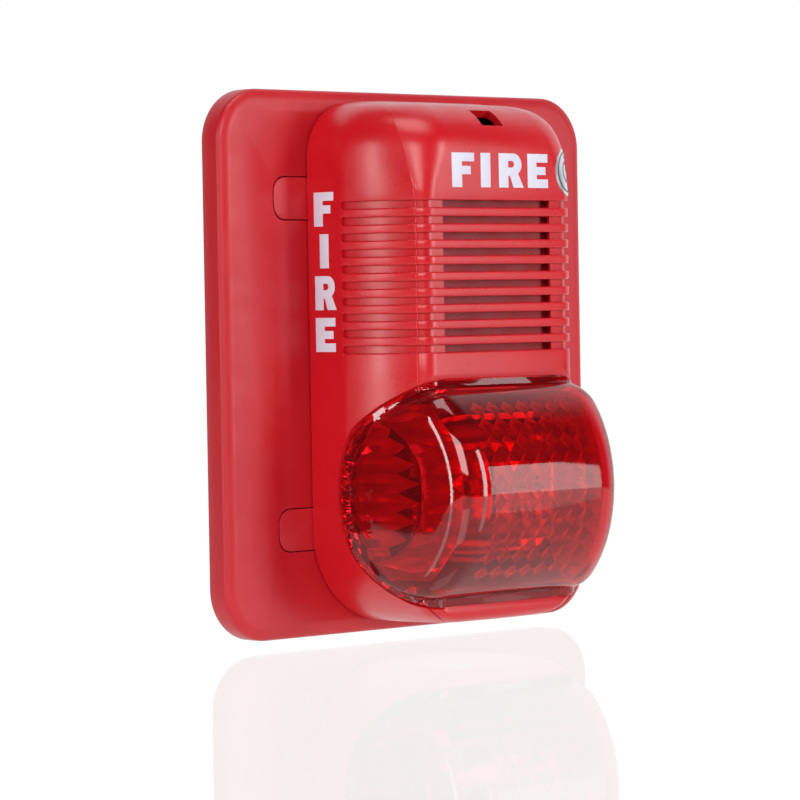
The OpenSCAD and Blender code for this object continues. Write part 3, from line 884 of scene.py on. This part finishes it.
def laminate():
    """Green solder resist over faint copper tracks."""
    material, tree, shader = new_material("board_laminate")
    where = add(tree, "TexCoord", {}).outputs["Object"]
    turned = add(tree, "Mapping", {"Rotation": (math.pi / 2, 0, 0), "Vector": where})
    tracks = add(tree, "TexBrick", {
        "Vector": turned.outputs["Vector"],
        "Scale": 180.0,
        "Mortar Size": 0.03,
        "Color1": (0.006, 0.07, 0.022, 1),
        "Color2": (0.008, 0.09, 0.03, 1),
        "Mortar": (0.03, 0.2, 0.06, 1),
    })
    fill(tree, shader, {
        "Base Color": tracks.outputs["Color"],
        "Roughness": ranged(tree, noise(tree, 200.0), 0.25, 0.42),
        "Normal": bumped(tree, tracks.outputs["Fac"], 0.00002),
    })
    return material


RED_COVER = moulded("cover_plastic", (0.56, 0.005, 0.012), 0.30, grain=1500.0, wear=0.05, coat=0.05)
RED_PLATE = moulded("plate_plastic", (0.50, 0.006, 0.014), 0.42, grain=1900.0, grain_height=0.00002)
RED_HOUSING = moulded("housing_plastic", (0.46, 0.006, 0.012), 0.45)
DARK_RED = moulded("baffle_plastic", (0.46, 0.005, 0.016), 0.5)
BLACK = moulded("black_plastic", (0.018, 0.018, 0.019), 0.45)
GREEN = moulded("terminal_plastic", (0.01, 0.12, 0.04), 0.42)
BLUE = moulded("selector_plastic", (0.01, 0.04, 0.28), 0.4)
WHITE = moulded("slider_plastic", (0.78, 0.78, 0.75), 0.4)
INK = moulded("white_ink", (0.68, 0.65, 0.76), 0.45, grain=2600.0, spread=0.03, wear=0.0)
RUBBER = moulded("bushing_rubber", (0.03, 0.03, 0.03), 0.7, spread=0.2)
SLEEVE = moulded("capacitor_sleeve", (0.012, 0.02, 0.09), 0.28, coat=0.4)
TAPE = moulded("coil_tape", (0.72, 0.45, 0.04), 0.35)
FERRITE = moulded("coil_ferrite", (0.04, 0.04, 0.045), 0.6, spread=0.3)
CERAMIC = moulded("disc_ceramic", (0.72, 0.70, 0.64), 0.35, spread=0.12)
CHIP_BODY = moulded("chip_ceramic", (0.42, 0.31, 0.2), 0.5, spread=0.2)
RED_SLEEVE = moulded("lead_sleeve", (0.42, 0.01, 0.01), 0.5)
STEEL = metal("zinc_steel", (0.62, 0.62, 0.60), 0.3)
TIN = metal("tinned_wire", (0.74, 0.74, 0.74), 0.25)
BRASS = metal("contact_brass", (0.74, 0.54, 0.22), 0.28)
MIRROR = metal("reflector_coating", (0.86, 0.86, 0.87), 0.09, scratch=120.0)
FOIL = metal("label_foil", (0.78, 0.79, 0.80), 0.3, scratch=1400.0)
FOIL_DARK = moulded("label_dark_ring", (0.05, 0.05, 0.055), 0.4)
RUBY = clear("lens_plastic", (0.74, 0.005, 0.014), 1.50, 0.03, clearness=0.90)
# A brighter, less clear copy of the lens plastic for the faces of the prisms, stars and flutes: painted
# sheen standing in for the light these optics reflect inside the lens
RUBY_PAINTED_SHEEN = clear("lens_prisms_painted_sheen", (1.0, 0.010, 0.022), 1.50, 0.05, clearness=0.55)
GLASS = clear("tube_glass", (0.95, 0.97, 1.0), 1.47, 0.02)
BOARD = laminate()


# ---- Pieces on the wall ----

def plate_outline(inset):
    r = PLATE_CORNER - inset
    h = PLATE_HALF_H - inset
    return rounded_outline(PLATE_HALF_W - inset, h, -h, r, r, 16)


def tab_outline(side, level, grow):
    """One of the mounting base's flush tabs, square towards the middle."""
    out = node_box("mounting_base")[1][0] + grow
    half_h = TAB_HALF_H + grow
    r = TAB_CORNER
    points = []
    for cz, start in ((TAB_Z + half_h - r, 90), (TAB_Z - half_h + r, 0)):
        for n in range(9):
            a = math.radians(start - 90 * n / 8)
            points.append((side * (out - r + r * math.cos(a)), level * (cz + r * math.sin(a))))
    inner = HEAD_HALF_W - 9
    points += [(side * inner, level * (TAB_Z - half_h)), (side * inner, level * (TAB_Z + half_h))]
    return points


def make_trim_plate():
    """The plate: its rim's section swept round, then the head's opening, tab pockets, notches and ribs."""
    t = PLATE_T
    profile = [(PLATE_WALL, 0.4), (PLATE_WALL - 0.2, 0.1), (PLATE_WALL - 0.5, 0)]
    profile += [(0.5, 0), (0.15, 0.15), (0, 0.5), (0, t * 0.4), (0, t - 2.4)]
    for n in range(1, 7):
        a = math.radians(62 * n / 6)
        profile.append((1.9 * (1 - math.cos(a)), t - 2.4 + 1.9 * math.sin(a)))
    profile += [(1.9, t - 0.28), (2.9, t - 0.06), (3.3, t - 0.015), (3.7, t)]
    rings = [[(x, up - t, z) for x, z in plate_outline(inset)] for inset, up in profile]
    rings.insert(0, [(x, -PLATE_WALL, z) for x, z in plate_outline(PLATE_WALL)])
    obj = lofted("trim_plate_moulding", rings)
    boolean(obj, prism("opening", head_outline(3.7), -t - 1, 2))
    for side in (-1, 1):
        for level in (-1, 1):
            boolean(obj, prism("pocket", tab_outline(side, level, 0.3), -1.3, 2))
        x0, x1 = sorted((side * 9.5, side * 15.5))
        boolean(obj, prism("notch", [(x0, -69.9), (x1, -69.9), (x1, -60), (x0, -60)], -t - 1, 2))
    for side in (-1, 1):
        x0, x1 = sorted((side * (HEAD_HALF_W - 2), side * (PLATE_HALF_W - 1)))
        for n in range(-2, 3):
            low = RIB_PITCH * n - RIB_HALF_H
            high = RIB_PITCH * n + RIB_HALF_H
            outline = [(x1, low), (x1, high), (x0, high), (x0, low)]
            boolean(obj, prism("rib", outline, 0.4 - t, 0.4 - PLATE_WALL), "UNION")
    bevel(obj, 0.28)
    piece(obj, "base", RED_PLATE, ["trim_plate"], sharp_angle=32)


def softened(node, name, body, material, width):
    """A copy of a CAD node with its flat faces rejoined and its edges softened."""
    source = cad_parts[node]
    obj = linked(name, source.data.copy())
    obj.data.materials.clear()
    bm = bmesh.new()
    bm.from_mesh(obj.data)
    bmesh.ops.remove_doubles(bm, verts=bm.verts, dist=0.003 * MM)
    bmesh.ops.dissolve_limit(
        bm, angle_limit=math.radians(2), verts=bm.verts, edges=bm.edges, use_dissolve_boundaries=False
    )
    bm.to_mesh(obj.data)
    bm.free()
    bevel(obj, width)
    piece(obj, body, material, [node], sharp_angle=38)


make_trim_plate()


# ---- Head ----

def make_cover():
    obj = cover_mesh()
    boolean(obj, window_cutter())
    piece(obj, "head", RED_COVER, ["head_cover"], sharp_angle=42)


def make_lens():
    piece(lens_mesh(), "head", [RUBY, RUBY_PAINTED_SHEEN], ["lens"], sharp_angle=24)


make_cover()
make_lens()


# ---- Lettering: plain block letters as a thin film of ink ----

def arc_points(cx, cz, reach_x, reach_z, angles):
    """Points of an arc about (cx, cz); angle 0 lies at reach_z above the centre."""
    turns = [math.radians(a) for a in angles]
    return [(cx + reach_x * math.sin(a), cz + reach_z * math.cos(a)) for a in turns]


def letter_shapes():
    """Outlines of the four block letters, as (width, loops); the first loop is the outer one."""
    bold = 3.5
    bar = 2.3
    tall = 9.3
    f = [(0, 0), (bold, 0), (bold, 3.5), (6.7, 3.5), (6.7, 5.7), (bold, 5.7), (bold, tall - bar)]
    f += [(8, tall - bar), (8, tall), (0, tall)]
    i = [(0, 0), (bold, 0), (bold, tall), (0, tall)]
    e = [(0, 0), (8, 0), (8, bar), (bold, bar), (bold, 3.6), (7.1, 3.6), (7.1, 5.7), (bold, 5.7)]
    e += [(bold, tall - bar), (8, tall - bar), (8, tall), (0, tall)]
    bowl = arc_points(5.6, tall - 3.0, 3.1, 3.0, range(0, 181, 18))
    r = [(0, 0), (bold, 0), (bold, 3.2), (4.3, 3.2), (5.5, 0), (9.4, 0), (7.3, 3.8)]
    r += bowl[-4::-1] + [(0, tall)]
    eye = [(bold, 5.4), (5.0, 5.4)]
    eye += arc_points(5.0, 6.35, 0.95, -0.95, range(30, 151, 30))
    eye += [(5.0, 7.3), (bold, 7.3)]
    return {"F": (8.0, [f]), "I": (3.5, [i]), "R": (9.4, [r, eye]), "E": (8.0, [e])}


def letter_object(name, placed_loops, to_world, thick):
    """A flat film with rounded edges from loops of (x, z), put in place by to_world."""
    curve = bpy.data.curves.new(name, "CURVE")
    curve.dimensions = "2D"
    curve.fill_mode = "BOTH"
    curve.extrude = thick * 0.5
    curve.bevel_depth = thick * 0.35
    curve.bevel_resolution = 1
    for loop in placed_loops:
        spline = curve.splines.new("POLY")
        spline.points.add(len(loop) - 1)
        for point, (x, z) in zip(spline.points, loop):
            point.co = (x, z, 0, 1)
        spline.use_cyclic_u = True
    holder = linked(name + "_curve", curve)
    graph = bpy.context.evaluated_depsgraph_get()
    mesh = bpy.data.meshes.new_from_object(holder.evaluated_get(graph))
    bpy.data.objects.remove(holder, do_unlink=True)
    for vertex in mesh.vertices:
        vertex.co = to_world(vertex.co)
    return linked(name, mesh)


def on_front(c):
    """Bends a flat film onto the slightly domed front."""
    x2 = facet_corners(c.y, 0, edge_radius(c.y))[2]
    return place(c.x, HEAD_D - float(front_drop(c.x, x2)) + INK_T * 0.4 + c.z, c.y)


def on_left_side(c):
    return place(-HEAD_HALF_W - INK_T * 0.4 - c.z, c.x, c.y)


def on_right_side(c):
    return place(HEAD_HALF_W + INK_T * 0.4 + c.z, 2 * SIDE_LETTER_MIDDLE - c.x, c.y)


def make_lettering():
    """The word across the front, and down each side of the head."""
    shapes = letter_shapes()
    front = []
    for letter, x in (("F", -17.8), ("I", -7.3), ("R", -0.5), ("E", 10.7)):
        for loop in shapes[letter][1]:
            front.append([(x + px, FRONT_WORD_Z + pz) for px, pz in loop])
    obj = letter_object("front_lettering", front, on_front, INK_T)
    piece(obj, "head", INK, sharp_angle=30)
    column = []
    for n, letter in enumerate("FIRE"):
        wide, shape = shapes[letter]
        left = SIDE_LETTER_MIDDLE - wide / 2 if letter == "I" else 3.1
        low = SIDE_LETTER_TOP - SIDE_LETTER_PITCH * n
        stretch = 0.9 if letter == "R" else 0.98
        for loop in shape:
            column.append([(left + px * stretch, low + pz * 0.99) for px, pz in loop])
    for name, move in (("left", on_left_side), ("right", on_right_side)):
        obj = letter_object("side_lettering_" + name, column, move, INK_T)
        piece(obj, "head", INK, sharp_angle=30)


make_lettering()


# ---- Round label bent over the front's right edge ----

def surface_walk(z):
    """The section at height z as (distance from the middle of the front, point and normal)."""
    half = half_section(z, 0)[::-1]
    walk = [(0.0, half[0])]
    for a, b in zip(half, half[1:]):
        walk.append((walk[-1][0] + math.hypot(b[0] - a[0], b[1] - a[1]), b))
    return walk


def on_surface(s, z, lift):
    """The point at distance s round the head's section from the middle of the front, lifted off it."""
    walk = surface_walk(z)
    for (s0, a), (s1, b) in zip(walk, walk[1:]):
        if s1 >= s and s1 > s0:
            t = (s - s0) / (s1 - s0)
            x, d, nx, nd = (a[k] + (b[k] - a[k]) * t for k in range(4))
            return (x + nx * lift, d + nd * lift, z)
    raise ValueError("the label runs past the head's back edge")


def make_label():
    """Foil disc with printed rings, each ring of faces in its own finish."""
    bands = [(0, 1.2, 0), (1.2, 2.3, 0), (2.3, 3.1, 1), (3.1, 5.2, 0), (5.2, 5.75, 1), (5.75, LABEL_R, 0)]
    radii = [0.0] + [b[1] for b in bands]
    sectors = 64
    points = []
    finish = []
    for lift in (0.16, 0.0):
        points.append(on_surface(LABEL_S, LABEL_Z, lift))
        for r in radii[1:]:
            for n in range(sectors):
                a = 2 * math.pi * n / sectors
                points.append(on_surface(LABEL_S + r * math.cos(a), LABEL_Z + r * math.sin(a), lift))
    back = 1 + sectors * (len(radii) - 1)
    faces = []
    for start in (0, back):
        for n in range(sectors):
            m = (n + 1) % sectors
            faces.append((start, start + 1 + n, start + 1 + m))
            finish.append(bands[0][2])
            for b in range(1, len(bands)):
                i = start + 1 + (b - 1) * sectors
                faces.append((i + n, i + sectors + n, i + sectors + m, i + m))
                finish.append(bands[b][2])
    rim = 1 + (len(bands) - 1) * sectors
    for n in range(sectors):
        m = (n + 1) % sectors
        faces.append((rim + n, rim + m, back + rim + m, back + rim + n))
        finish.append(0)
    obj = raw_object("round_foil_label", points, faces)
    for polygon, index in zip(obj.data.polygons, finish):
        polygon.material_index = index
    piece(obj, "head", [FOIL, FOIL_DARK], ["round_label"], sharp_angle=30)


make_label()


# ---- Latch spring: a real coil in place of the plain tube ----

def make_spring():
    """A wire coil in the space of the CAD's tube."""
    low, high = node_box("latch_spring")
    cx = 0.5 * (low[0] + high[0])
    cy = 0.5 * (low[1] + high[1])
    wire = 0.28
    r = high[0] - cx - wire
    turns = 6
    steps = turns * 24
    rings = []
    for n in range(steps + 1):
        a = 2 * math.pi * turns * n / steps
        z = low[2] + wire + (high[2] - low[2] - 2 * wire) * n / steps
        ring = []
        for m in range(8):
            b = 2 * math.pi * m / 8
            out = r + wire * math.cos(b)
            depth = -PLATE_T - (cy + out * math.sin(a))
            ring.append((cx + out * math.cos(a), depth, z + wire * math.sin(b)))
        rings.append(ring)
    obj = lofted("latch_spring_coil", rings)
    piece(obj, "base", STEEL, ["latch_spring"], sharp_angle=None)
    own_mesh(obj)


make_spring()

# ---- CAD nodes that keep their shape, with softened copies or their own material ----

SOFTENED = [
    ("mounting_base", "mounting_base_moulding", "base", "plate_plastic", RED_PLATE, 0.25),
    ("terminal_block", "terminal_block_moulding", "base", "terminal_plastic", GREEN, 0.2),
    ("release_latch", "release_latch_slider", "latch", "latch_plastic", BLACK, 0.25),
    ("rear_housing", "rear_housing_moulding", "head", "housing_plastic", RED_HOUSING, 0.2),
    ("flash_capacitor", "flash_capacitor_can", "head", "capacitor_sleeve", SLEEVE, 0.6),
    ("trigger_transformer", "trigger_transformer_block", "head", "coil_tape", TAPE, 0.5),
    ("control_chips", "control_chip_bodies", "head", "chip_plastic", BLACK, 0.15),
    ("selector_block", "selector_switch_body", "head", "selector_plastic", BLUE, 0.12),
]
for node, name, body, slot, material, width in SOFTENED:
    softened(node, name, body, material, width)

KEPT = {
    "terminal_screws": STEEL, "base_contacts": BRASS, "grille_baffle": DARK_RED, "reflector": MIRROR,
    "flash_tube": GLASS, "tube_bushings": RUBBER, "tube_leads": TIN, "trigger_band": TIN,
    "contact_blades": BRASS, "cover_screws": STEEL, "circuit_board": BOARD, "board_screws": STEEL,
    "power_inductor": FERRITE, "chip_components": CHIP_BODY, "sounder_housing": BLACK,
    "sounder_cap": BLACK, "piezo_disc": BRASS, "piezo_ceramic": CERAMIC, "sounder_leads": RED_SLEEVE,
    **{f"selector_slider_{n}": WHITE for n in range(1, 5)},
}
for node, material in KEPT.items():
    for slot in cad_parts[node].material_slots:
        slot.material = material


# ---- Camera, floor and lights ----

def view_axes(azimuth, elevation):
    """Unit vectors towards the camera, to its right and up."""
    a = math.radians(azimuth)
    e = math.radians(elevation)
    back = Vector((math.sin(a) * math.cos(e), -math.cos(a) * math.cos(e), math.sin(e)))
    right = Vector((math.cos(a), math.sin(a), 0))
    return back, right, back.cross(right)


def pose(x_axis, y_axis, z_axis, place_at):
    turned = Matrix((x_axis, y_axis, z_axis)).transposed().to_4x4()
    turned.translation = place_at
    return turned


def make_camera():
    """The photo's camera; the last two numbers centre the object as in the photo."""
    back, right, up = view_axes(CAMERA_AZIMUTH, CAMERA_ELEVATION)
    roll = math.radians(CAMERA_ROLL)
    data = bpy.data.cameras.new("camera")
    data.lens = CAMERA_LENS
    data.sensor_width = 36.0
    data.clip_end = 50.0
    camera = linked("camera", data)
    x_axis = math.cos(roll) * right + math.sin(roll) * up
    y_axis = math.cos(roll) * up - math.sin(roll) * right
    place_at = back * CAMERA_DISTANCE + right * 0.00177 + up * -0.01117
    camera.matrix_world = pose(x_axis, y_axis, back, place_at)
    bpy.context.scene.camera = camera


def make_floor():
    """A pale floor that glows evenly and mirrors the object faintly."""
    size = 0.5
    level = -0.0772
    mesh = bpy.data.meshes.new("floor")
    corners = [(-size, -size, level), (size, -size, level), (size, size, level), (-size, size, level)]
    mesh.from_pydata(corners, [], [(0, 1, 2, 3)])
    floor = linked("floor", mesh)
    material, tree, _ = new_material("pale_floor")
    tree.nodes.clear()
    glow = add(tree, "Emission", {"Strength": 1.09})
    gloss = add(tree, "BsdfGlossy", {"Roughness": 0.03})
    mix = add(tree, "MixShader", {0: 0.22, 1: glow.outputs[0], 2: gloss.outputs[0]})
    add(tree, "OutputMaterial", {"Surface": mix.outputs[0]})
    mesh.materials.append(material)


def softbox(name, azimuth, elevation, distance, size, power):
    """A rectangular lamp that faces the object's middle."""
    back, right, up = view_axes(azimuth, elevation)
    data = bpy.data.lights.new(name, "AREA")
    data.shape = "RECTANGLE"
    data.size = size[0]
    data.size_y = size[1]
    data.energy = power
    lamp = linked(name, data)
    lamp.visible_camera = False
    lamp.matrix_world = pose(right, up, back, back * distance + Vector((0, -0.03, 0)))


def make_world():
    """White behind the object, dim in front of it and white wherever the camera looks."""
    world = bpy.data.worlds.new("studio")
    world.use_nodes = True
    tree = world.node_tree
    seen = fill(tree, tree.nodes["Background"], {"Color": (1, 1, 1, 1), "Strength": 1.0})
    where = add(tree, "TexCoord", {}).outputs["Generated"]
    away = add(tree, "VectorMath", {0: where, 1: -view_axes(CAMERA_AZIMUTH, 0)[0]})
    away.operation = "DOT_PRODUCT"
    bright = ranged(tree, away.outputs["Value"], 0.05, 1.0, 0.2, 0.6)
    lit = add(tree, "Background", {"Color": (0.93, 0.95, 1, 1), "Strength": bright})
    camera_ray = add(tree, "LightPath", {}).outputs["Is Camera Ray"]
    mix = add(tree, "MixShader", {0: camera_ray, 1: lit.outputs[0], 2: seen.outputs[0]})
    fill(tree, tree.nodes["World Output"], {"Surface": mix.outputs[0]})
    bpy.context.scene.world = world


bpy.context.scene.view_settings.view_transform = "Standard"
make_camera()
make_floor()
make_world()
softbox("left_strip", -87, 8, 1.5, (0.18, 0.9), 6)
softbox("tall_box", 27, 4, 2.5, (0.5, 2.2), 32)
softbox("low_panel", 44, 4, 2.5, (0.22, 0.85), 2.2)
softbox("fill", -38, 20, 2.2, (0.9, 0.9), 20)
softbox("top_box", -20, 75, 1.4, (0.9, 0.7), 8)
